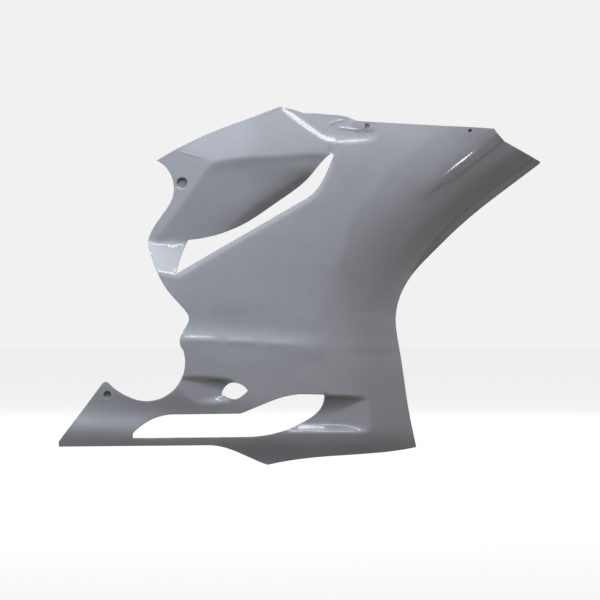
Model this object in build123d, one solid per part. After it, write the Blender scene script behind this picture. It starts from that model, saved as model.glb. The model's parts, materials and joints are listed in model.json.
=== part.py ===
from build123d import *
from math import hypot, sqrt
import os

# Right-hand side fairing of a sports motorcycle: one moulded laminate panel, in millimetres.
# +X points forward, +Z up and -Y outboard. The origin lies in the skin on the axis of the rear
# fixing recess. Outlines are written (forward, up) and offsets are outboard of the XZ plane.

# The laminate
wall = 3.0

# How far the panel reaches from the rear fixing: to the tip of its nose, to the end of its tail,
# up to its crest and down to its belly
nose_reach = 724.0
tail_reach = 248.0
crest_height = 154.0
belly_depth = 566.0

# Blind recesses for the fixings, square to the XZ plane: forward, up, radius, depth at the axis
REAR_RECESS = (0.0, 0.0, 10.0, 8.0)
TAIL_RECESS = (-149.0, -425.0, 7.0, 5.0)
TOP_RECESS = (372.0, crest_height - 41.5, 5.0, 4.0)
NOSE_RECESS = (nose_reach - 146, crest_height - 50.5, 3.5, 4.0)

# Stations of the table of offsets, forward of the origin
STATIONS = (-tail_reach - 52, -122, -2, 118, 238)

# Table of offsets above the ledge: the level, its fall per millimetre forward, the front edge, the
# offsets at the stations and where the bend to the front edge begins, and how deep and how long
# that bend is
UPPER_LINES = [
    (crest_height + 40, 0, nose_reach + 200, (-113, -62, -32, -8, 4, 2), 80, 220),
    (144, 0, nose_reach + 132, (-101, -50, -20, 4, 15, 13), 80, 220),
    (104, 0, nose_reach + 80, (-89, -40, -10, 13, 24, 21), 80, 220),
    (64, 0, nose_reach + 28, (-81, -30, -1, 22, 31, 28), 78, 217),
    (4, 0, nose_reach - 50, (-69, -18, 12, 31, 36, 33), 77, 210),
    (-46, 0, nose_reach - 115, (-54, -6, 20, 34, 38, 35), 73, 199),
    (-96, 0, nose_reach - 174, (-38, 4, 26, 36.5, 39, 36), 68, 188),
    (-156, 0, nose_reach - 236, (-23, 12, 32, 38, 39.5, 36.5), 62, 170),
    (-216, 0, 444, (-9, 18, 35, 39, 39.5, 37), 56, 151),
    (-262, 0, 431, (-4, 20, 35.5, 39, 39.5, 37.5), 53, 145),
]

# The same over the ledge, down to its crest
LEDGE_LINES = [
    (-262, 0, 431, (-4, 20, 35.5, 39, 39.5, 37.5), 53, 145),
    (-280, -0.02, 432, (-2, 21, 36.2, 39.4, 39.8, 37.7), 52, 145),
    (-297, -0.035, 434, (4.5, 25.6, 40.2, 42.2, 40.8, 38.2), 52, 145),
    (-312, -0.045, 437, (15, 35, 48.5, 49.5, 46, 39.5), 53, 145),
]

# The same from the crest of the ledge down
LOWER_LINES = [
    (-312, -0.045, 437, (15, 35, 48.5, 49.5, 46, 39.5), 53, 145),
    (-345, -0.03, 441, (13, 31, 47.5, 49, 45.5, 40), 53, 145),
    (-380, 0, 446, (9, 26.5, 46, 48.5, 45.5, 40), 53, 145),
    (-416, 0, 451, (5, 23, 42.5, 47, 45, 40), 53, 145),
    (-446, 0, 456, (1.5, 16, 33, 43.5, 43.5, 39.5), 53, 145),
    (-470, 0, 460, (3, 15, 26, 38.5, 42, 39), 53, 145),
    (-490, 0, 464, (7, 20.5, 28, 37, 38.5, 38), 53, 145),
    (-508, 0, 468, (4.5, 18.5, 27, 33.5, 34, 34), 52, 145),
    (-530, 0, 472, (-4, 9, 18, 23.5, 25, 25), 50, 145),
    (6 - belly_depth, 0, 478, (-21, -10, 2, 8, 10, 9), 48, 145),
    (-belly_depth - 40, 0, 486, (-46, -36, -24, -17, -14, -15), 46, 145),
]

# The bend: the share of its length left to the front edge, and the share of its depth reached
BEND = ((1.0, 0.0), (0.72, 0.16), (0.45, 0.44), (0.2, 0.76), (0.0, 1.0), (-0.22, 1.27))

# The tab and strip at the rear: one flat facet through the origin, its rise forward and upward
STRIP = ((0, 0, 0), 0.275, -0.015)

# The facet across the strut below the strip
FACET = ((0, -118, -15), 0, -0.7)

# The hollow behind the upper vent: ribs at a distance forward, through (level, offset)
HOLLOW_RIBS = [
    (-130, [(120, 35), (40, 19), (-10, 8.5), (-60, -2), (-110, -12.2), (-160, -22.5)]),
    (-52, [(120, 34), (40, 18), (-10, 8), (-60, -2), (-110, -12.7), (-160, -23)]),
    (6, [(120, 34), (40, 17.8), (0, 9.6), (-36, 2.2), (-90, -8.5), (-160, -23)]),
    (64, [(120, 42), (40, 17.3), (8, 10), (-32, 3.5), (-76, -6), (-140, -24)]),
    (138, [(120, 58), (47, 26.5), (20, 17.5), (-10, 10), (-42, 2), (-92, -25)]),
    (238, [(120, 66), (55.5, 32), (38, 26), (22, 20), (-2, 4), (-50, -30)]),
    (300, [(120, 68), (57, 33), (46, 27.5), (36, 21), (20, 9), (-20, -20)]),
    (345, [(120, 72), (63, 35.5), (50, 28.5), (38, 21.5), (22, 12), (-18, -11)]),
]

# The strip, hollow and facet stop along the middle of the upper vent
REAR_REGION = [(-120, crest_height + 36), (320, crest_height + 36), (299, 70), (297, 44), (286, 34),
               (263, 12), (232, -16), (180, -48), (110, -92), (40, -124), (8, -132), (-3, -165),
               (-9, -184), (-20, -240), (-120, -240)]

# Pressed-in areas with a flat floor: a point on the floor, its rise forward and upward, the
# outline of the floor, and the outline its walls reach at a height above it
OVERLAP_PAD = dict(
    foot=(290, crest_height - 36, 17), rises=(0.01, -0.21), height=8,
    floor=[(172, crest_height + 21), (287, crest_height - 61), (329, crest_height - 68),
           (370, crest_height - 65), (384, crest_height - 60), (382, crest_height - 55),
           (346, crest_height - 50), (337, crest_height - 34), (337, crest_height + 21)],
    rim=[(150, crest_height + 16), (281, crest_height - 77), (329, crest_height - 84),
         (374, crest_height - 80), (402, crest_height - 64), (398, crest_height - 42),
         (360, crest_height - 36), (352, crest_height - 26), (351, crest_height + 21)])
INLET = dict(
    foot=(380, -460, 23), rises=(0.03, 0), height=30,
    floor=[(150, -460), (210, -440), (245, -433), (430, -433), (430, -505), (380, -497), (324, -487.5),
           (250, -485), (200, -487), (150, -492)],
    rim=[(145, -455), (207, -433), (243, -426.6), (430, -426.6), (430, -522), (380, -513.6), (324, -504),
         (250, -502), (200, -504), (145, -509)])
SCOOP = dict(
    foot=(16, -410, 41), rises=(-0.11, 0.02), height=20,
    floor=[(-6, -392), (30, -394), (90, -403), (100, -405), (100, -425), (84, -428), (58, -434),
           (21, -438), (-6, -440)],
    rim=[(-6, -379), (30, -381), (90, -390), (111, -399), (111, -431), (88, -441), (60, -447),
         (21, -451), (-6, -453)])

# Rolled edges: points (forward, up, width of the roll) along a trimmed edge that has the panel
# on its right, and how fast the roll falls
VENT_ROLL = dict(
    edge=[(-12, -184, 8), (60, -141, 9), (120, -106, 9), (180, -72, 9), (242, -36, 9), (272, -12, 8),
          (292, 24, 7), (303, 52, 4), (300, 70, -2)],
    fall=0.45)
FRONT_ROLL = dict(
    edge=[(nose_reach + 36, 70, 15), (nose_reach, 42, 15), (nose_reach - 72, -12, 16),
          (nose_reach - 148, -72, 16), (nose_reach - 224, -144, 10), (450, -204, -6)],
    fall=0.8)


# Sketching and skins

def at(forward, up, outboard):
    return Vector(forward, -outboard, up)


def even(count):
    return [i / (count - 1) for i in range(count)]


def rib(points):
    return Wire([Edge.make_spline(points, parameters=even(len(points)))])


def skin_through(rows):
    return Shell.make_loft([rib(row) for row in rows]).faces()[0]


def moved_in(point, face, depth):
    """A point of a face, moved inboard square to the face."""
    normal = face.normal_at(point)
    return point + normal * (depth if normal.Y > 0 else -depth)


def skin_at(rows, depth):
    """The skin through the rows, or the same skin a depth further inboard."""
    face = skin_through(rows)
    if depth == 0:
        return face
    return skin_through([[moved_in(p, face, depth) for p in row] for row in rows])


def flat(placing, depth):
    """A flat facet through a point, at a depth inboard of where it is written."""
    (forward, up, out), rise_forward, rise_up = placing
    across = at(1, 0, rise_forward).normalized()
    inward = across.cross(at(0, 1, rise_up)).normalized() * -1
    origin = at(forward, up, out) + inward * depth
    return Face.make_rect(1600, 1600, Plane(origin=origin, x_dir=across, z_dir=inward))


def inboard_of(face):
    return Solid.extrude(face, Vector(0, 400, 0))


def outboard_of(face):
    return Solid.extrude(face, Vector(0, -500, 0))


def closed(*pieces):
    return Wire([edge for piece in pieces for edge in piece.edges()])


def prism(wire):
    """An outline in (forward, up) run right through the panel along Y."""
    face = Plane.XZ * Face(wire)
    return Solid.extrude(face.moved(Location((0, -200, 0))), Vector(0, 480, 0))


# The main form

def line_points(line):
    level, fall, edge, offsets, depth, length = line
    spots = list(zip(STATIONS, offsets))
    spots += [(edge - left * length, offsets[-1] - share * depth) for left, share in BEND]
    return [at(forward, level + fall * forward, out) for forward, out in spots]


def main_skins(depth):
    """The skins above, over and below the ledge, meeting along shared lines at any depth."""
    bands = [[line_points(line) for line in lines] for lines in (UPPER_LINES, LEDGE_LINES, LOWER_LINES)]
    faces = [skin_through(band) for band in bands]
    if depth == 0:
        return faces
    moved = [[[moved_in(p, face, depth) for p in row] for row in band] for face, band in zip(faces, bands)]
    for above, below in zip(moved, moved[1:]):
        above[-1] = below[0] = [(a + b) * 0.5 for a, b in zip(above[-1], below[0])]
    return [skin_through(band) for band in moved]


def rear_cut(depth):
    """What lies outboard of the strip, the hollow and the facet, behind the middle of the vent."""
    ribs = [[at(forward, up, out) for up, out in spots] for forward, spots in HOLLOW_RIBS]
    cut = outboard_of(flat(STRIP, depth)) + outboard_of(skin_at(ribs, depth))
    cut = cut & outboard_of(flat(FACET, depth))
    return cut & prism(Wire(Polyline(*REAR_REGION, close=True)))


# Pressed-in areas, rolled edges and recesses

def unit(start, end):
    length = hypot(end[0] - start[0], end[1] - start[1])
    return (end[0] - start[0]) / length, (end[1] - start[1]) / length


def grown(points, margin):
    """An outline with its sides moved outward by a margin, corner by corner."""
    ahead = points[1:] + points[:1]
    area = sum(a[0] * b[1] - b[0] * a[1] for a, b in zip(points, ahead))
    turn = margin if area > 0 else -margin
    corners = []
    for before, point, after in zip(points[-1:] + points, points, ahead):
        ux, uz = unit(before, point)
        vx, vz = unit(point, after)
        scale = turn / (1 + ux * vx + uz * vz)
        corners.append((point[0] + (uz + vz) * scale, point[1] - (ux + vx) * scale))
    return corners


def pressing(depth, foot, rises, height, floor, rim):
    """A flat-floored pressing with flared walls, standing outboard from its floor."""
    sink = depth * sqrt(1 + rises[0] ** 2 + rises[1] ** 2)

    def ring(points, lift):
        corners = []
        for forward, up in grown(points, 0.7 * depth):
            rise = rises[0] * (forward - foot[0]) + rises[1] * (up - foot[1])
            corners.append(at(forward, up, foot[2] + rise - sink + lift))
        return Wire(Polyline(*corners, close=True))

    return Solid.make_loft([ring(floor, 0), ring(rim, height)], True)


def offset_at(skin, forward, up):
    """How far outboard a skin stands at a point of the XZ plane."""
    hits = skin.find_intersection_points(Axis((forward, 0, up), (0, 1, 0)))
    return -hits[0][0].Y


def rolled_edge(skin, depth, edge, fall):
    """What lies outboard of a strip that turns in along a trimmed edge."""
    rows = [[], []]
    for before, (forward, up, width), after in zip(edge[:1] + edge, edge, edge[1:] + edge[-1:]):
        ux, uz = unit(before, after)
        for row, back in zip(rows, (-6, width + 6)):
            x, z = forward + uz * back, up - ux * back
            row.append(at(x, z, offset_at(skin, x, z) - fall * (width - back)))
    return outboard_of(skin_at(rows, depth))


def recess(place, mouth, depth):
    """A round blind recess below a mouth level, or the cup its inside makes."""
    forward, up, radius, deep = place
    plane = Plane(origin=at(forward, up, mouth - deep - depth), x_dir=(1, 0, 0), z_dir=(0, -1, 0))
    return Solid.make_cylinder(radius + depth, 60, plane)


# The outline of the panel and its openings

def outline():
    nose, crest, belly = nose_reach, crest_height, belly_depth
    return closed(
        Spline((-52, 46), (40, crest - 60), (130, crest - 26)),
        Line((130, crest - 26), (200, crest)),
        Spline((200, crest), (218, crest - 5.5), (238, crest - 10.5), (290, crest - 16), (334, crest - 22)),
        Spline((334, crest - 22), (348, crest - 28.5), (364, crest - 31)),
        Polyline((364, crest - 31), (nose - 98, crest - 45), (nose - 90, crest - 56), (nose - 76, crest - 70),
                 (nose, 45), (nose, 42)),
        Spline((nose, 42), (nose - 72, -12), (nose - 148, -72), (nose - 224, -144), (450, -204), (430, -270),
               (438, -336), (452, -432), (472, 34 - belly)),
        Spline((472, 34 - belly), (418, 26 - belly), (328, 20 - belly), (238, 12 - belly), (172, -belly)),
        Spline((172, -belly), (138, 14 - belly), (98, 31.5 - belly), (58, 40 - belly)),
        Polyline((58, 40 - belly), (-tail_reach, 36 - belly), (-tail_reach, 46 - belly), (-158, -401)),
        Spline((-158, -401), (-152, -398.5), (-144, -404)),
        Spline((-144, -404), (-124, -420), (-104, -430)),
        ThreePointArc((-104, -430), (-43, -432.5), (4, -335)),
        Spline((4, -335), (-2, -310), (6, -293), (15, -272), (4, -252), (-28, -216), (-56, -162), (-70, -120)),
        Spline((-70, -120), (-66, -105), (-40, -63), (-20, -30), (-17, -6), (-22, 15), (-52, 46)),
    )


def upper_vent():
    return closed(
        Spline((299, 58), (289, 50), (256, 12), (194, -36), (120, -84), (68, -104), (12, -114)),
        Spline((12, -114), (0, -140), (-10, -182)),
        Line((-10, -182), (242, -36)),
        Spline((242, -36), (272, -12), (292, 24), (303, 51)),
        ThreePointArc((303, 51), (303, 56.5), (299, 58)),
    )


def lower_vent():
    return closed(
        Line((-98, -512), (-98, -503)),
        Spline((-98, -503), (-80, -486), (-52, -471), (-10, -464)),
        Line((-10, -464), (118, -462)),
        Spline((118, -462), (166, -442), (210, -427), (240, -423)),
        Line((240, -423), (286, -424)),
        Spline((286, -424), (276, -455), (242, -480), (182, -503), (120, -509)),
        Line((120, -509), (-98, -512)),
    )


def small_hole():
    return closed(
        Spline((80, -424), (87, -409), (98, -401), (113, -401), (133, -416)),
        Spline((133, -416), (121, -427), (108, -433), (94, -430), (80, -424)),
    )


# The panel: the form, trimmed to its outline and openings, less the same form a wall further in

def formed(depth):
    upper_skin, _, lower_skin = main_skins(0)
    form = Solid.fuse(*[inboard_of(skin) for skin in main_skins(depth)])
    form -= rear_cut(depth)
    form -= rolled_edge(upper_skin, depth, **VENT_ROLL)
    form -= rolled_edge(upper_skin, depth, **FRONT_ROLL)
    for area in (OVERLAP_PAD, INLET, SCOOP):
        form -= pressing(depth, **area)
    form -= recess(REAR_RECESS, 0, depth)
    form -= recess(TAIL_RECESS, offset_at(lower_skin, *TAIL_RECESS[:2]), depth)
    for place in (TOP_RECESS, NOSE_RECESS):
        form -= recess(place, offset_at(upper_skin, *place[:2]), depth)
    return form


trim = prism(outline())
for opening in (upper_vent(), lower_vent(), small_hole()):
    trim -= prism(opening)
panel = (formed(0) & trim) - (formed(wall) & trim)

os.makedirs("parts", exist_ok=True)
export_step(panel, "parts/side_fairing.step")
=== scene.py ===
# %% [markdown]
# The side fairing of a sports motorcycle is one moulded shell, three millimetres thick: a glossy
# gelcoat outside, a rough glass-fibre laminate inside, and a sawn edge all round. The packed
# model already has its size, outline, openings and fixing recesses, so this script loads it as a
# fixed frame and builds the finished skin in the same place.

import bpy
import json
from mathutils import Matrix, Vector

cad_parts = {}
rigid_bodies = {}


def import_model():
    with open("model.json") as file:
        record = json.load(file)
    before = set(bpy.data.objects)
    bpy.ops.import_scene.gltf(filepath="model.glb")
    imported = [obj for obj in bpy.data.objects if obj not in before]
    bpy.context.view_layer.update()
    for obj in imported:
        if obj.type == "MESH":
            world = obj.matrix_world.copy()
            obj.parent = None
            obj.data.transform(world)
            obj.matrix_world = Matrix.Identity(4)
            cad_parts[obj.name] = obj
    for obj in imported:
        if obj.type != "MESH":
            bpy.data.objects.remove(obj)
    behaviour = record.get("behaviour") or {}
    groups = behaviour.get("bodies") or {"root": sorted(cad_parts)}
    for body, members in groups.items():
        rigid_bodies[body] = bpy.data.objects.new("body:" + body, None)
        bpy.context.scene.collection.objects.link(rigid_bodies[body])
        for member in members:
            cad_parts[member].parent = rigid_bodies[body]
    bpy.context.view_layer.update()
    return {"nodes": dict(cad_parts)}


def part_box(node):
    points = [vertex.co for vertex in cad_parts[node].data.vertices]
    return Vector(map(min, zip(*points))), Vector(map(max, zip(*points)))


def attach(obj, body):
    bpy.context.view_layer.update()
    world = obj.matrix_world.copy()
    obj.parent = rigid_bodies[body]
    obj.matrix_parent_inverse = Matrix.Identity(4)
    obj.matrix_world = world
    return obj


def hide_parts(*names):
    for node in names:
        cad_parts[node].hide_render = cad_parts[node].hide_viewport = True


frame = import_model()

# %% [markdown]
# Blender works in metres and the fairing was measured in millimetres, so one helper turns
# millimetres into metres. The rest of the tools used below are imported here too.

# %% Tools and sizes
import json
import math

import bmesh
import bpy
import numpy as np
from mathutils import Vector
from mathutils.bvhtree import BVHTree

MM = 0.001
NODE = "side_fairing"
WALL = 3.0 * MM
CELL = 3.7 * MM
# Points closer than this are merged: in the grid and along the outline, and in finer cells
WIDE_GAP = 0.9 * MM
FINE_GAP = 0.6 * MM
# A face looks outboard where its normal's share along Y is less than this
OUTBOARD = -0.03
panel = frame["nodes"][NODE]
print(NODE, "has", len(panel.data.polygons), "triangles")

# %% [markdown]
# Most steps work on one object in edit mode. Operators act on all that is selected, so each
# step starts with a clean selection, and faces, edges or points are then picked by a rule.

# %% Helpers for edit mode
def only(piece):
    """Makes a piece the one selected and active object."""
    if bpy.context.object and bpy.context.object.mode != "OBJECT":
        bpy.ops.object.mode_set(mode="OBJECT")
    bpy.ops.object.select_all(action="DESELECT")
    piece.select_set(True)
    bpy.context.view_layer.objects.active = piece


def edit(piece, kind="VERT"):
    """Opens a piece in edit mode with nothing selected."""
    only(piece)
    bpy.ops.object.mode_set(mode="EDIT")
    bpy.ops.mesh.select_mode(type=kind)
    bpy.ops.mesh.select_all(action="DESELECT")


def pick(piece, kind, rule):
    """Selects the points, edges or faces that a rule says yes to, and says how many."""
    edit(piece, kind)
    work = bmesh.from_edit_mesh(piece.data)
    items = {"VERT": work.verts, "EDGE": work.edges, "FACE": work.faces}[kind]
    count = 0
    for item in items:
        if rule(item):
            item.select_set(True)
            count += 1
    work.select_flush_mode()
    bmesh.update_edit_mesh(piece.data)
    return count


def done():
    bpy.ops.object.mode_set(mode="OBJECT")


# %% [markdown]
# The outline of the shell, with its vents and holes, is taken from the frame, so the new skin
# ends exactly where the panel ends. Every face that looks outboard is kept, the rest is deleted,
# and the sheet is pressed flat. The floors of the fixing recesses are loose islands by then, and
# they go too, which leaves round holes to work from.

# %% A flat sheet with the panel's outline
def flat_outline(name):
    mesh = panel.data.copy()
    mesh.materials.clear()
    sheet = bpy.data.objects.new(name, mesh)
    bpy.context.scene.collection.objects.link(sheet)
    only(sheet)
    bpy.ops.mesh.customdata_custom_splitnormals_clear()
    edit(sheet)
    bpy.ops.mesh.select_all(action="SELECT")
    bpy.ops.mesh.remove_doubles(threshold=0.01 * MM)
    pick(sheet, "FACE", lambda face: face.normal.y > OUTBOARD)
    bpy.ops.mesh.delete(type="FACE")
    bpy.ops.mesh.select_all(action="SELECT")
    bpy.ops.transform.resize(value=(1, 0, 1), center_override=(0, 0, 0))
    bpy.ops.mesh.remove_doubles(threshold=0.02 * MM)
    done()
    return sheet


def drop_small_islands(sheet, least_area):
    """Deletes loose parts of a sheet that are smaller than an area, and says how many."""
    work = bmesh.new()
    work.from_mesh(sheet.data)
    left, dropped = set(work.faces), 0
    while left:
        island, queue = set(), [left.pop()]
        while queue:
            face = queue.pop()
            island.add(face)
            for edge in face.edges:
                for other in edge.link_faces:
                    if other in left:
                        left.discard(other)
                        queue.append(other)
        if sum(face.calc_area() for face in island) < least_area:
            bmesh.ops.delete(work, geom=list(island), context="FACES")
            dropped += 1
    work.to_mesh(sheet.data)
    work.free()
    return dropped


def join_flat_faces(sheet):
    """Joins the faces of a flat sheet, and leaves only the true corners of its outline."""
    edit(sheet)
    bpy.ops.mesh.select_all(action="SELECT")
    bpy.ops.mesh.dissolve_limited(angle_limit=math.radians(1.0), delimit=set())
    done()


LEAST_ISLAND = 400 * MM * MM
skin = flat_outline("fairing_shell")
dropped = drop_small_islands(skin, LEAST_ISLAND)
join_flat_faces(skin)
print("outline sheet:", len(skin.data.vertices), "points,", dropped, "recess floors dropped")

# %% [markdown]
# A shiny surface shows every facet, so the sheet needs many small cells. A modeller would lay a
# grid over it, and here bisect does that: each call cuts the whole sheet along one line. Cells
# away from the edge are square, and those on the edge keep the true outline. Points that come too
# close together are merged, and a point of the outline never moves for one inside.

# %% Cut the sheet into a grid
def on_outline(vertex):
    return vertex.is_boundary


def inside(vertex):
    return not vertex.is_boundary


def merge_close(sheet, within):
    """Merges points that lie close together, first along the outline and then inside it."""
    pick(sheet, "VERT", on_outline)
    bpy.ops.mesh.remove_doubles(threshold=within)
    pick(sheet, "VERT", inside)
    bpy.ops.mesh.remove_doubles(threshold=within, use_unselected=True)
    done()


# The share of a cell by which the grid is shifted, so that no line runs along the outline
SHIFT = 0.37


def cut_into_cells(sheet, cell):
    low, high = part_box(NODE)
    edit(sheet)
    for axis in (0, 2):
        count = int((high[axis] - low[axis]) / cell)
        normal = (1, 0, 0) if axis == 0 else (0, 0, 1)
        for step in range(1, count + 1):
            place = low[axis] + (step - SHIFT) * cell
            point = (place, 0, 0) if axis == 0 else (0, 0, place)
            bpy.ops.mesh.select_all(action="SELECT")
            bpy.ops.mesh.bisect(plane_co=point, plane_no=normal, threshold=0.01 * MM)
    done()
    merge_close(sheet, WIDE_GAP)


cut_into_cells(skin, CELL)
print("grid sheet:", len(skin.data.vertices), "points,", len(skin.data.polygons), "cells")

# %% [markdown]
# The fixings sit in round recesses with a dished mouth. Each mouth is opened here, while the sheet
# is still flat: the cells round it are made finer, those within its radius are deleted, and the
# ragged hole that they leave is drawn onto a true circle.

# %% Open the mouths of the recesses
# Centre (forward, up), radius, radius of the dished mouth and the floor's place along Y, in mm
RECESSES = {
    "rear": ((0.0, 0.0), 10.0, 13.2, 8.0),
    "tail": ((-149.0, -425.0), 7.0, 9.0, -12.2),
    "top": ((372.0, 112.5), 5.0, 6.2, -18.4),
    "nose": ((578.0, 103.5), 3.5, 4.4, -17.3),
}
# How far past a mouth its cells are halved, once and once more, and how far they are deleted, in mm
FINER = (6, 3)
CLEARED = 0.4


def distance_from(point, centre):
    """How far a point lies from a centre in mm, seen square on."""
    return math.hypot(point.x - centre[0] * MM, point.z - centre[1] * MM)


def ring_round(work, centre):
    """The points of the open ring that lies nearest to a centre."""
    start = min((v for v in work.verts if v.is_boundary), key=lambda v: distance_from(v.co, centre))
    ring, unread = {start}, [start]
    while unread:
        for edge in unread.pop().link_edges:
            fresh = [v for v in edge.verts if edge.is_boundary and v not in ring]
            ring.update(fresh)
            unread.extend(fresh)
    return ring


def open_mouth(sheet, centre, mouth):
    """Cuts a round hole in the flat sheet and makes it true."""
    def pick_within(reach):
        pick(sheet, "FACE", lambda f: distance_from(f.calc_center_median(), centre) < reach * MM)

    for past in FINER:
        pick_within(mouth + past)
        bpy.ops.mesh.subdivide(number_cuts=1)
        done()
    pick_within(mouth + CLEARED)
    bpy.ops.mesh.delete(type="FACE")
    edit(sheet)
    work = bmesh.from_edit_mesh(sheet.data)
    ring = ring_round(work, centre)
    for vertex in ring:
        scale = mouth * MM / distance_from(vertex.co, centre)
        vertex.co.x = centre[0] * MM + (vertex.co.x - centre[0] * MM) * scale
        vertex.co.z = centre[1] * MM + (vertex.co.z - centre[1] * MM) * scale
        vertex.select_set(True)
    count = len(ring)
    bmesh.update_edit_mesh(sheet.data)
    bpy.ops.mesh.remove_doubles(threshold=FINE_GAP)
    done()
    return count


for name, (centre, _, mouth, _) in RECESSES.items():
    print(name, "recess mouth points:", open_mouth(skin, centre, mouth))

# %% [markdown]
# Cells that are finer than the outline's own steps leave slivers along it, which would show as
# nicks in the sawn edge. Points of the outline that lie close together are merged, and cells that
# are then too thin to matter are deleted. The mouths of the recesses are left alone.

# %% Clean the edge of the sheet
# How far from a mouth the cleaning stays, in mm, and the width below which a cell is a sliver
KEEP_OFF = 1.5
THINNEST = 0.15 * MM


def far_from_mouths(point):
    return all(
        distance_from(point, centre) > (mouth + KEEP_OFF) * MM
        for centre, _, mouth, _ in RECESSES.values()
    )


def merge_outline(sheet):
    """Merges close points of the outline, away from the mouths."""
    pick(sheet, "VERT", lambda v: v.is_boundary and far_from_mouths(v.co))
    bpy.ops.mesh.remove_doubles(threshold=WIDE_GAP)
    done()


def is_sliver(face):
    """Whether a cell at the edge of the sheet is too thin to matter, seen square on."""
    places = [Vector((v.co.x, v.co.z)) for v in face.verts]
    area = abs(sum(a.cross(b) for a, b in zip(places, places[1:] + places[:1]))) / 2
    longest = max((a - b).length for a in places for b in places)
    at_edge = any(e.is_boundary for e in face.edges)
    return at_edge and far_from_mouths(face.calc_center_median()) and area < THINNEST * longest


def trim_slivers(sheet, rounds=4):
    """Takes the slivers off the edge, then those that this lays bare."""
    count = 0
    for _ in range(rounds):
        count += pick(sheet, "FACE", is_sliver)
        bpy.ops.mesh.delete(type="FACE")
        done()
    return count


merge_outline(skin)
print("slivers trimmed:", trim_slivers(skin))

# %% [markdown]
# Now each point of the flat sheet is raised onto the panel. The frame's triangles are flat, but
# their corners carry the true direction of the surface, so the height inside a triangle is bent
# to follow those directions. That takes the facets out of the reflections.

# %% Raise the sheet onto the panel
# How much of the bend that the corners ask for is taken, and how steep a triangle may count as
BENT = 0.5
STEEPEST = -0.2
# Sizes that stand for none, so that nothing is divided by zero
NO_AREA, NO_LENGTH, LEAST_AREA = 1e-14, 1e-20, 1e-10


def outer_triangles():
    """Corners and corner normals of the panel's outboard triangles, as two arrays."""
    mesh = panel.data
    places = np.array([v.co for v in mesh.vertices])
    corners = np.array([corner.vector for corner in mesh.corner_normals])
    points, normals = [], []
    for face in mesh.polygons:
        if face.normal.y < OUTBOARD:
            points.append(places[list(face.vertices)])
            normals.append(corners[list(face.loop_indices)])
    return np.array(points), np.array(normals)


def raised(flat, points, normals):
    """The distance along Y of the panel's outer skin at each flat point."""
    corners = points.reshape(-1, 3) * (1, 0, 1)
    order = np.arange(len(corners)).reshape(-1, 3)
    tree = BVHTree.FromPolygons(corners.tolist(), order.tolist())
    which = np.array([tree.find_nearest(Vector(p))[2] for p in flat])
    a, b, c = (points[which, i] for i in range(3))
    u, v, w = (b - a)[:, ::2], (c - a)[:, ::2], (flat - a)[:, ::2]
    area = u[:, 0] * v[:, 1] - u[:, 1] * v[:, 0]
    area = np.where(abs(area) < NO_AREA, NO_AREA, area)
    share_b = (w[:, 0] * v[:, 1] - w[:, 1] * v[:, 0]) / area
    share_c = (u[:, 0] * w[:, 1] - u[:, 1] * w[:, 0]) / area
    shares = np.clip(np.stack([1 - share_b - share_c, share_b, share_c], 1), 0, 1)
    shares /= shares.sum(1, keepdims=True)
    on_flat = (shares[:, :, None] * points[which]).sum(1)
    lifts = ((points[which] - on_flat[:, None, :]) * normals[which]).sum(2)
    push = BENT * (shares[:, :, None] * lifts[:, :, None] * normals[which]).sum(1)
    facing = np.cross(b - a, c - a)
    facing /= np.linalg.norm(facing, axis=1, keepdims=True) + NO_LENGTH
    return on_flat[:, 1] + (push * facing).sum(1) / np.minimum(facing[:, 1], STEEPEST)


def raise_onto_panel(sheet):
    """Moves each point of the sheet along Y onto the panel's outer skin."""
    points, normals = outer_triangles()
    sides = points[:, 1] - points[:, 0], points[:, 2] - points[:, 0]
    keep = np.linalg.norm(np.cross(*sides), axis=1) > LEAST_AREA
    flat = np.array([v.co for v in sheet.data.vertices])
    flat[:, 1] = 0
    heights = raised(flat, points[keep], normals[keep])
    flat[:, 1] = heights
    sheet.data.vertices.foreach_set("co", flat.ravel())
    sheet.data.update()
    return heights


heights = raise_onto_panel(skin)
print("raised from", round(heights.min() / MM, 1), "to", round(heights.max() / MM, 1), "mm")

# %% [markdown]
# The mould has a small radius on every crease. The folds are found by the angle between the cells
# beside them. The cells there are halved and raised again, so that they follow the crease more
# closely, and then they are relaxed along Y alone, which rounds the crease and leaves the outline.

# %% Refine and soften the creases
def folds(sheet, angle):
    """Selects the edges that fold more than an angle."""
    sharp = math.radians(angle)
    return pick(sheet, "EDGE", lambda e: len(e.link_faces) == 2 and e.calc_face_angle() > sharp)


def refine_creases(sheet, angle, rings):
    """Halves the cells beside the folds and raises them again."""
    count = folds(sheet, angle)
    bpy.ops.mesh.select_mode(type="VERT")
    bpy.ops.mesh.select_mode(type="FACE")
    for _ in range(rings):
        bpy.ops.mesh.select_more()
    bpy.ops.mesh.subdivide(number_cuts=1)
    merge_outline(sheet)
    pick(sheet, "VERT", inside)
    bpy.ops.mesh.remove_doubles(threshold=FINE_GAP, use_unselected=True)
    done()
    print("slivers trimmed:", trim_slivers(sheet))
    raise_onto_panel(sheet)
    return count


def smooth_heights(passes):
    """Evens out the heights of the selected points, and leaves their places square on."""
    bpy.ops.mesh.vertices_smooth(factor=0.5, repeat=passes, xaxis=False, yaxis=True, zaxis=False)
    done()


def soften(sheet, angle, rings, passes):
    """Rounds the folds that are sharper than an angle."""
    count = folds(sheet, angle)
    bpy.ops.mesh.select_mode(type="VERT")
    for _ in range(rings):
        bpy.ops.mesh.select_more()
    smooth_heights(passes)
    return count


print("fold edges refined:", refine_creases(skin, angle=7, rings=2))
print("cells now:", len(skin.data.polygons))
print("fold edges softened:", soften(skin, angle=5, rings=3, passes=9))

# %% [markdown]
# Some places of the moulding are softer still: the long bend to the front edge above all, the ridge
# and foot of the overlap pad, and the ends and feet of the pressed areas. Their heights are evened
# out further, each along a line.

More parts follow.
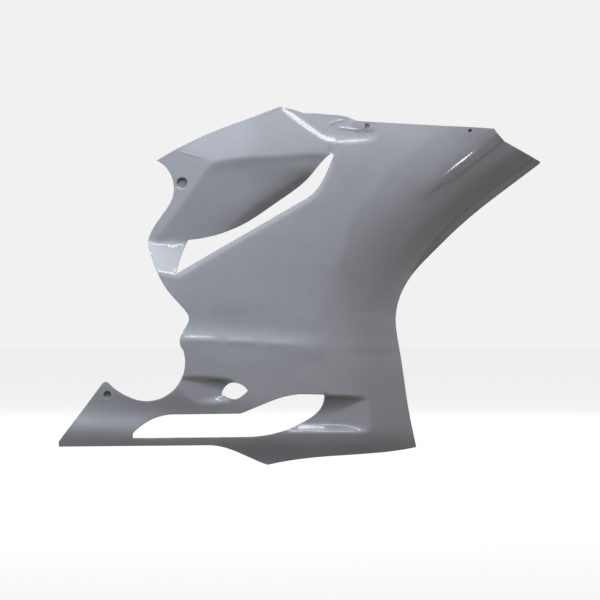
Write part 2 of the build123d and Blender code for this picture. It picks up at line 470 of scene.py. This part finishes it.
# %% Relax the soft places
def distance_from_line(point, line):
    """How far a point lies from a line of corners, seen square on."""
    place = Vector((point.x, point.z))
    best = math.inf
    for start, end in zip(line, line[1:]):
        start, end = Vector(start) * MM, Vector(end) * MM
        along = end - start
        share = min(max((place - start).dot(along) / along.length_squared, 0), 1)
        best = min(best, (place - start - along * share).length)
    return best


def relax(sheet, rule, passes):
    """Evens out the heights of the points that a rule picks."""
    count = pick(sheet, "VERT", rule)
    smooth_heights(passes)
    return count


# The line each soft place follows, how far it reaches to each side in mm, and how soft it is
SOFT_PLACES = {
    "tip of the upper vent": ([(295, 63), (297, 63)], 13, 30),
    "top recess": ([(367, 112), (369, 112)], 19, 30),
    "bend to the front edge": (
        [(372, -190), (392, -96), (470, -8), (560, 66), (640, 118)], 55, 400
    ),
    "front of that bend": ([(500, -32), (518, -16), (632, 82)], 13, 150),
    "ridge of the pad": ([(190, 152), (286, 92)], 6, 5),
    "foot of the pad": ([(288, 91), (330, 84), (384, 92)], 8, 20),
    "upper end of the tab": ([(-62, -122), (8, -124)], 7, 14),
    "lower end of the tab": ([(-52, -181), (-4, -185)], 7, 14),
    "foot of the scoop": ([(30, -441), (94, -431)], 7, 14),
    "foot of the inlet": ([(200, -494), (372, -490)], 7, 14),
}
for place, (line, reach, passes) in SOFT_PLACES.items():
    count = relax(skin, lambda v: distance_from_line(v.co, line) < reach * MM, passes)
    print(place, "points:", count)
relax(skin, lambda v: True, passes=2)

# %% [markdown]
# Fine raised lines catch the light in the photograph: one where the strip meets the blade, and two
# on the overlap pad, at the upper edge of its tongue and where the tongue leaves the crest.

# %% Raise the fine lines
# The share of a line's length over which each end of it tapers off
TAPER = 0.25
# The line, its height and its width to each side, all in mm
FINE_LINES = {
    "strip edge": ([(-10, 65), (18, 57), (46, 50)], 0.7, 3.0),
    "tongue": ([(310, 111), (338, 107), (362, 105)], 1.3, 3.5),
    "crest of the tongue": ([(291, 115), (304, 121), (328, 127)], 1.1, 3.0),
}


def halve_cells(sheet, line, reach):
    """Halves the cells near a line."""
    count = pick(
        sheet,
        "FACE",
        lambda f: distance_from_line(f.calc_center_median(), line) < reach * MM
        and not any(v.is_boundary for v in f.verts),
    )
    bpy.ops.mesh.subdivide(number_cuts=1)
    done()
    return count


def raise_line(sheet, line, height, width):
    """Raises a smooth low ridge along a line, and tapers it off at both ends."""
    first, last = Vector(line[0]) * MM, Vector(line[-1]) * MM
    count = 0
    for vertex in sheet.data.vertices:
        away = distance_from_line(vertex.co, line) / (width * MM)
        if away < 1:
            place = Vector((vertex.co.x, vertex.co.z))
            ends = min((place - first).length, (place - last).length) / (last - first).length
            swell = math.cos(away * math.pi / 2) ** 2 * min(ends / TAPER, 1)
            vertex.co.y -= height * MM * swell
            count += 1
    return count


for name, (line, height, width) in FINE_LINES.items():
    print(name, "cells halved:", halve_cells(skin, line, width + 1))
    print(name, "points raised:", raise_line(skin, line, height, width))

# %% [markdown]
# Each recess now grows from its round mouth. The rim is extruded in rings that narrow quickly and
# sink slowly at first, which makes the dished lip, then it goes down to a flat floor and is filled.

# %% Sink the recesses
# Rings of the lip: the share of the way from the mouth in to the bore, and how far down it lies
LIP = ((0.30, 0.02), (0.60, 0.07), (0.85, 0.16), (1.0, 0.30))
# Rings of the bore: their share of its radius, and the share of the depth that is left
BORE = ((0.97, 0.04), (0.93, 0.0))


def sink(sheet, centre, radius, mouth, floor):
    """Turns a round hole in the sheet into a recess with a flat floor at a place along Y."""
    edit(sheet)
    work = bmesh.from_edit_mesh(sheet.data)
    ring = ring_round(work, centre)
    bpy.ops.mesh.select_mode(type="EDGE")
    for rim_edge in (e for e in work.edges if e.is_boundary and e.verts[0] in ring):
        rim_edge.select_set(True)
    bmesh.update_edit_mesh(sheet.data)
    middle = (centre[0] * MM, floor * MM, centre[1] * MM)
    rings = [(mouth + (radius - mouth) * share, 1 - down) for share, down in LIP]
    rings += [(share * radius, left) for share, left in BORE]
    size, height = mouth, 1.0
    for wanted, left in rings:
        bpy.ops.mesh.extrude_edges_move()
        factors = (wanted / size, left / height, wanted / size)
        bpy.ops.transform.resize(value=factors, center_override=middle)
        size, height = wanted, left
    bpy.ops.mesh.edge_face_add()
    done()
    return len(ring)


for name, (centre, radius, mouth, floor) in RECESSES.items():
    print(name, "recess rim points:", sink(skin, centre, radius, mouth, floor))

# %% [markdown]
# The sheet becomes a shell with Solidify, which grows inwards and gives the inside and the sawn
# edge material slots of their own. A small bevel then breaks the sawn edge.

# %% Give the shell its wall
def add_wall(sheet):
    wall = sheet.modifiers.new("wall", "SOLIDIFY")
    wall.thickness = WALL
    wall.offset = -1
    wall.material_offset = 1
    wall.material_offset_rim = 2
    round_over = sheet.modifiers.new("sawn_edge", "BEVEL")
    round_over.width = 0.25 * MM
    round_over.segments = 2
    round_over.limit_method = "ANGLE"
    round_over.angle_limit = math.radians(50)
    round_over.use_clamp_overlap = False
    only(sheet)
    for modifier in ("wall", "sawn_edge"):
        bpy.ops.object.modifier_apply(modifier=modifier)
    bpy.ops.object.shade_smooth_by_angle(angle=math.radians(35))


def paint_shade_in_bores(sheet):
    """Gives the outer faces of the recesses, from halfway up the lip, a dull finish that is painted
    darker as shade.
    """
    outside, painted_shade_slot = 0, len(sheet.data.materials) - 1
    for centre, radius, mouth, _ in RECESSES.values():
        for face in sheet.data.polygons:
            near = distance_from(face.center, centre) < (radius + mouth) / 2 * MM
            if near and face.material_index == outside:
                face.material_index = painted_shade_slot


# Solidify counts on from the outside's slot to the inside and the rim, so the bores come last
FINISHES = ("glossy_gelcoat", "bare_laminate", "sawn_edge", "dull_recess_painted_shade")
finishes = {finish: bpy.data.materials.new(finish) for finish in FINISHES}
for finish in FINISHES[:3]:
    skin.data.materials.append(finishes[finish])
add_wall(skin)
# The last slot holds the recess finish, which is painted darker as shade
skin.data.materials.append(finishes["dull_recess_painted_shade"])
paint_shade_in_bores(skin)
triangles = sum(len(face.vertices) - 2 for face in skin.data.polygons)
print("shell:", len(skin.data.polygons), "faces,", triangles, "triangles")
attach(skin, "root")
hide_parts(NODE)

# %% [markdown]
# Four finishes cover the panel, and all of them are patterns worked out from object coordinates.
# These short helpers add the nodes that every finish uses.

# %% Helpers for materials
def node(tree, kind, **settings):
    """Adds a node, and sets its options and the values of its inputs."""
    made = tree.nodes.new("ShaderNode" + kind)
    for name, value in settings.items():
        if hasattr(made, name):
            setattr(made, name, value)
        else:
            made.inputs[name.replace("_", " ").title()].default_value = value
    return made


def noise(tree, place, scale, detail):
    made = node(tree, "TexNoise", scale=scale, detail=detail)
    tree.links.new(place, made.inputs["Vector"])
    return made.outputs["Fac"]


def ramp(tree, value, low, dark, high, light):
    """Turns a value into a colour or a grey between two stops."""
    made = tree.nodes.new("ShaderNodeValToRGB")
    for stop, (where, tone) in zip(made.color_ramp.elements, ((low, dark), (high, light))):
        stop.position = where
        stop.color = (*tone, 1) if isinstance(tone, tuple) else (tone, tone, tone, 1)
    tree.links.new(value, made.inputs["Fac"])
    return made.outputs["Color"]


def combine(tree, operation, first, second):
    made = node(tree, "Math", operation=operation)
    for socket, value in zip(made.inputs, (first, second)):
        if isinstance(value, (int, float)):
            socket.default_value = value
        else:
            tree.links.new(value, socket)
    return made.outputs["Value"]


# A Mix node has its colour sockets after those for numbers and vectors
COLOUR_A, COLOUR_B, COLOUR_OUT = 6, 7, 2


def blend_colour(tree, amount, first, second):
    made = node(tree, "Mix", data_type="RGBA")
    tree.links.new(amount, made.inputs["Factor"])
    for socket, value in zip((made.inputs[COLOUR_A], made.inputs[COLOUR_B]), (first, second)):
        if isinstance(value, tuple):
            socket.default_value = (*value, 1)
        else:
            tree.links.new(value, socket)
    return made.outputs[COLOUR_OUT]


def new_group(name, inputs, output):
    """Starts a node group, and gives it with its input and output nodes."""
    group = bpy.data.node_groups.new(name, "ShaderNodeTree")
    for label, kind in inputs:
        group.interface.new_socket(name=label, in_out="INPUT", socket_type=kind)
    group.interface.new_socket(name=output, in_out="OUTPUT", socket_type="NodeSocketFloat")
    return group, group.nodes.new("NodeGroupInput"), group.nodes.new("NodeGroupOutput")


def use_group(tree, group, place, value):
    """Adds a group that takes a place and one number."""
    made = tree.nodes.new("ShaderNodeGroup")
    made.node_tree = group
    tree.links.new(place, made.inputs[0])
    made.inputs[1].default_value = value
    return made.outputs[0]


# %% [markdown]
# Two effects are used more than once, so each is a node group. The first is a cloudy unevenness,
# broad and fine together. The second is one layer of glass strands: a noise drawn out to fibres a
# millimetre or so wide and several centimetres long, turned in the plane of the panel.

# %% Shared groups: clouds and strands
# How many times finer the fine clouds are, and how often the noise repeats per metre across and
# along a strand
FINER_BY = 7.0
ALONG, ACROSS = 26, 620


def clouds_group():
    group, start, end = new_group(
        "clouds", [("Place", "NodeSocketVector"), ("Scale", "NodeSocketFloat")], "Amount"
    )
    broad = node(group, "TexNoise", detail=4.0)
    fine = node(group, "TexNoise", detail=3.0)
    for texture, factor in ((broad, 1.0), (fine, FINER_BY)):
        group.links.new(start.outputs["Place"], texture.inputs["Vector"])
        size = combine(group, "MULTIPLY", start.outputs["Scale"], factor)
        group.links.new(size, texture.inputs["Scale"])
    mostly = combine(group, "MULTIPLY", broad.outputs["Fac"], 0.7)
    rest = combine(group, "MULTIPLY", fine.outputs["Fac"], 0.3)
    group.links.new(combine(group, "ADD", mostly, rest), end.inputs["Amount"])
    return group


def strands_group():
    group, start, end = new_group(
        "strand_layer", [("Place", "NodeSocketVector"), ("Turn", "NodeSocketFloat")], "Amount"
    )
    turn = node(group, "VectorRotate", rotation_type="Y_AXIS")
    group.links.new(start.outputs["Place"], turn.inputs["Vector"])
    group.links.new(start.outputs["Turn"], turn.inputs["Angle"])
    stretch = node(group, "VectorMath", operation="MULTIPLY")
    stretch.inputs[1].default_value = (ALONG, ALONG, ACROSS)
    group.links.new(turn.outputs["Vector"], stretch.inputs[0])
    fibres = noise(group, stretch.outputs["Vector"], 1.0, 2.0)
    sharp = node(group, "MapRange", from_min=0.52, from_max=0.62)
    group.links.new(fibres, sharp.inputs["Value"])
    group.links.new(sharp.outputs["Result"], end.inputs["Amount"])
    return group


clouds = clouds_group()
strand_layer = strands_group()
print("node groups:", [group.name for group in bpy.data.node_groups])

# %% [markdown]
# The outside is gelcoat straight from the mould: light, cool grey and glossy, with faint clouds of
# tone, a little dust, and the weave of the glass just showing through in its reflections.

# %% Gelcoat
# The turns of the three layers of strands, in radians
TURNS = (0.35, 1.45, 2.5)
DARK_GREY, LIGHT_GREY = (0.335, 0.341, 0.355), (0.365, 0.371, 0.385)
DUST = (0.46, 0.46, 0.45)


def start_finish(name):
    """Gives the node tree, shader and object coordinates of a finish."""
    material = finishes[name]
    material.use_nodes = True
    tree = material.node_tree
    places = tree.nodes.new("ShaderNodeTexCoord")
    return tree, tree.nodes["Principled BSDF"], places.outputs["Object"]


def strands(tree, place):
    """Three layers of strands laid over each other."""
    layers = [use_group(tree, strand_layer, place, turn) for turn in TURNS]
    return combine(tree, "MAXIMUM", combine(tree, "MAXIMUM", layers[0], layers[1]), layers[2])


def bump(tree, shader, height, depth, before=None):
    made = node(tree, "Bump", distance=depth)
    tree.links.new(height, made.inputs["Height"])
    if before:
        tree.links.new(before, made.inputs["Normal"])
    tree.links.new(made.outputs["Normal"], shader.inputs["Normal"])
    return made.outputs["Normal"]


def gelcoat():
    tree, shader, place = start_finish("glossy_gelcoat")
    shader.inputs["Coat Weight"].default_value = 0.8
    shader.inputs["Coat Roughness"].default_value = 0.12
    shader.inputs["Specular IOR Level"].default_value = 0.2
    uneven = use_group(tree, clouds, place, 7.0)
    tone = ramp(tree, uneven, 0.38, DARK_GREY, 0.62, LIGHT_GREY)
    specks = ramp(tree, noise(tree, place, 900, 1), 0.72, 0.0, 0.80, 0.35)
    tree.links.new(blend_colour(tree, specks, tone, DUST), shader.inputs["Base Color"])
    gloss = ramp(tree, use_group(tree, clouds, place, 22.0), 0.4, 0.36, 0.6, 0.46)
    tree.links.new(gloss, shader.inputs["Roughness"])
    peel = bump(tree, shader, noise(tree, place, 260, 2), 0.012 * MM)
    bump(tree, shader, strands(tree, place), 0.004 * MM, peel)


gelcoat()
print("gelcoat nodes:", len(finishes["glossy_gelcoat"].node_tree.nodes))

# %% [markdown]
# The inside shows how the panel is made. Strands of chopped glass lie every way in resin that
# pooled unevenly from the brush. The sawn edge is paler and dull, with fine marks from the blade,
# and the bores of the recesses are dull and painted darker than the gelcoat, as painted shade.

# %% Laminate, sawn edge and recesses
DARK_RESIN, LIGHT_RESIN, GLASS = (0.27, 0.265, 0.225), (0.38, 0.375, 0.33), (0.56, 0.56, 0.52)
DARK_EDGE, LIGHT_EDGE = (0.33, 0.33, 0.32), (0.45, 0.45, 0.44)
# Tones of the recess bores, darker than the gelcoat as painted shade
BORE_PAINTED_SHADE_DARK, BORE_PAINTED_SHADE_LIGHT = (0.24, 0.24, 0.24), (0.31, 0.31, 0.31)


def laminate():
    tree, shader, place = start_finish("bare_laminate")
    glass = strands(tree, place)
    pooled = use_group(tree, clouds, place, 12.0)
    resin = ramp(tree, pooled, 0.35, DARK_RESIN, 0.65, LIGHT_RESIN)
    amount = combine(tree, "MULTIPLY", glass, 0.75)
    tree.links.new(blend_colour(tree, amount, resin, GLASS), shader.inputs["Base Color"])
    tree.links.new(ramp(tree, pooled, 0.4, 0.22, 0.6, 0.5), shader.inputs["Roughness"])
    wavy = bump(tree, shader, pooled, 0.8 * MM)
    bump(tree, shader, glass, 0.12 * MM, wavy)


def sawn_edge():
    tree, shader, place = start_finish("sawn_edge")
    uneven = use_group(tree, clouds, place, 60.0)
    tone = ramp(tree, uneven, 0.4, DARK_EDGE, 0.6, LIGHT_EDGE)
    tree.links.new(tone, shader.inputs["Base Color"])
    tree.links.new(ramp(tree, uneven, 0.4, 0.5, 0.6, 0.7), shader.inputs["Roughness"])
    bump(tree, shader, use_group(tree, strand_layer, place, 0.0), 0.05 * MM)


# A rough grey darker than the gelcoat: painted shade inside the recesses
def dull_recess_painted_shade():
    tree, shader, place = start_finish("dull_recess_painted_shade")
    uneven = use_group(tree, clouds, place, 90.0)
    tone = ramp(tree, uneven, 0.4, BORE_PAINTED_SHADE_DARK, 0.6, BORE_PAINTED_SHADE_LIGHT)
    tree.links.new(tone, shader.inputs["Base Color"])
    tree.links.new(ramp(tree, uneven, 0.4, 0.6, 0.6, 0.8), shader.inputs["Roughness"])
    bump(tree, shader, uneven, 0.1 * MM)


laminate()
sawn_edge()
dull_recess_painted_shade()
print("materials:", [material.name for material in skin.data.materials])

# %% [markdown]
# The stage is a pale floor just under the panel, with a world that is nearly white where it is
# seen. In the photograph nothing pale lies near the panel, and the faces that look down are dark.
# So the floor is pale where it is seen, with the panel's shadow on it, and dark for the light that
# it returns.

# %% Floor and world
# What is seen of the floor, a matt grey and a glow of its own, and the tone that returns light
SEEN_MATT, SEEN_GLOW = (0.18, 0.18, 0.18, 1), 0.84
RETURNED = (0.10, 0.09, 0.07, 1)
SEEN_WORLD = (0.88, 0.88, 0.88, 1)
# The size of the floor and the place of its middle along X, in metres
FLOOR_SIZE, FLOOR_X = 30, 0.24


def seen_or_not(tree, seen, unseen, output):
    """Shows one shader to the camera, and to mirrors and glass, and another to the rest."""
    mix = tree.nodes.new("ShaderNodeMixShader")
    path = tree.nodes.new("ShaderNodeLightPath")
    looks = path.outputs["Is Camera Ray"]
    for kind in ("Is Glossy Ray", "Is Transmission Ray"):
        looks = combine(tree, "MAXIMUM", looks, path.outputs[kind])
    tree.links.new(looks, mix.inputs["Fac"])
    tree.links.new(unseen, mix.inputs[1])
    tree.links.new(seen, mix.inputs[2])
    tree.links.new(mix.outputs["Shader"], output)


def floor_below(drop):
    """Lays the floor a little below the lowest point of the panel."""
    low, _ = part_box(NODE)
    only(skin)
    bpy.ops.object.select_all(action="DESELECT")
    bpy.ops.mesh.primitive_plane_add(size=FLOOR_SIZE, location=(FLOOR_X, 0, low.z - drop))
    floor = bpy.context.object
    floor.name = "floor"
    material = bpy.data.materials.new("pale_floor")
    material.use_nodes = True
    tree = material.node_tree
    tree.nodes.remove(tree.nodes["Principled BSDF"])
    matt = tree.nodes.new("ShaderNodeBsdfDiffuse")
    matt.inputs["Color"].default_value = SEEN_MATT
    glow = tree.nodes.new("ShaderNodeEmission")
    glow.inputs["Strength"].default_value = SEEN_GLOW
    pale = tree.nodes.new("ShaderNodeAddShader")
    tree.links.new(matt.outputs["BSDF"], pale.inputs[0])
    tree.links.new(glow.outputs["Emission"], pale.inputs[1])
    deep = tree.nodes.new("ShaderNodeBsdfDiffuse")
    deep.inputs["Color"].default_value = RETURNED
    surface = tree.nodes["Material Output"].inputs["Surface"]
    seen_or_not(tree, pale.outputs["Shader"], deep.outputs["BSDF"], surface)
    floor.data.materials.append(material)
    return floor


def world_light(strength):
    """A weak even light, which is seen as nearly white."""
    world = bpy.data.worlds.new("studio")
    bpy.context.scene.world = world
    world.use_nodes = True
    tree = world.node_tree
    light = tree.nodes["Background"]
    light.inputs["Color"].default_value = (1.0, 1.0, 1.0, 1)
    light.inputs["Strength"].default_value = strength
    pale = tree.nodes.new("ShaderNodeBackground")
    pale.inputs["Color"].default_value = SEEN_WORLD
    surface = tree.nodes["World Output"].inputs["Surface"]
    seen_or_not(tree, pale.outputs["Background"], light.outputs["Background"], surface)


floor = floor_below(1 * MM)
world_light(0.10)
print("floor at", round(floor.location.z / MM), "mm")

# %% [markdown]
# A large soft key hangs high on the left and rakes down the panel. A strip high in front draws the
# bright lines along the ridges, a bluish fill stands on the left, and a lamp behind lights the
# laminate. A small lamp on the right gives the short streak near the nose, and it shows in
# reflections only.

# %% Lights
# The middle of the panel, and the place of the streak, in metres
CENTRE = (0.237, -0.03, -0.235)
STREAK = (0.563, -0.02, 0.044)


def soft_light(name, place, aim, size, power, colour=(1, 1, 1)):
    data = bpy.data.lights.new(name, "AREA")
    data.shape = "RECTANGLE"
    data.size, data.size_y = size
    data.energy = power
    data.color = colour
    lamp = bpy.data.objects.new(name, data)
    lamp.location = place
    lamp.rotation_euler = (Vector(aim) - Vector(place)).to_track_quat("-Z", "Y").to_euler()
    bpy.context.scene.collection.objects.link(lamp)
    return lamp


soft_light("key", (-0.53, 0.10, 2.66), CENTRE, (1.6, 1.6), 76, (0.98, 1.0, 0.96))
soft_light("strip", (0.35, -1.2, 1.74), CENTRE, (1.7, 0.36), 22)
fill = soft_light("fill", (-0.72, -1.18, 1.05), CENTRE, (0.9, 0.9), 25, (0.74, 0.81, 1.0))
fill.visible_glossy = False
soft_light("back", (0.5, 2.4, 1.0), CENTRE, (1.6, 1.6), 30)
glint = soft_light("glint", (0.982, -0.637, -0.242), STREAK, (0.08, 0.08), 0.0025)
glint.data.spread = math.radians(11)
glint.visible_diffuse = False

# %% [markdown]
# The photograph looks straight at the side of the panel from far away. It shows 1.2 metres
# across its width, so the lens follows from the distance.

# %% Camera
def square_on_camera(centre, width, distance):
    data = bpy.data.cameras.new("camera")
    data.sensor_width = 36
    data.lens = data.sensor_width * distance / width
    camera = bpy.data.objects.new("camera", data)
    camera.location = (centre[0], centre[1] - distance, centre[2])
    camera.rotation_euler = (math.radians(90), 0, 0)
    bpy.context.scene.collection.objects.link(camera)
    bpy.context.scene.camera = camera
    return camera


camera = square_on_camera(CENTRE, 1.2, 6.0)
bpy.context.scene.view_settings.view_transform = "Standard"
print("lens:", round(camera.data.lens), "mm")
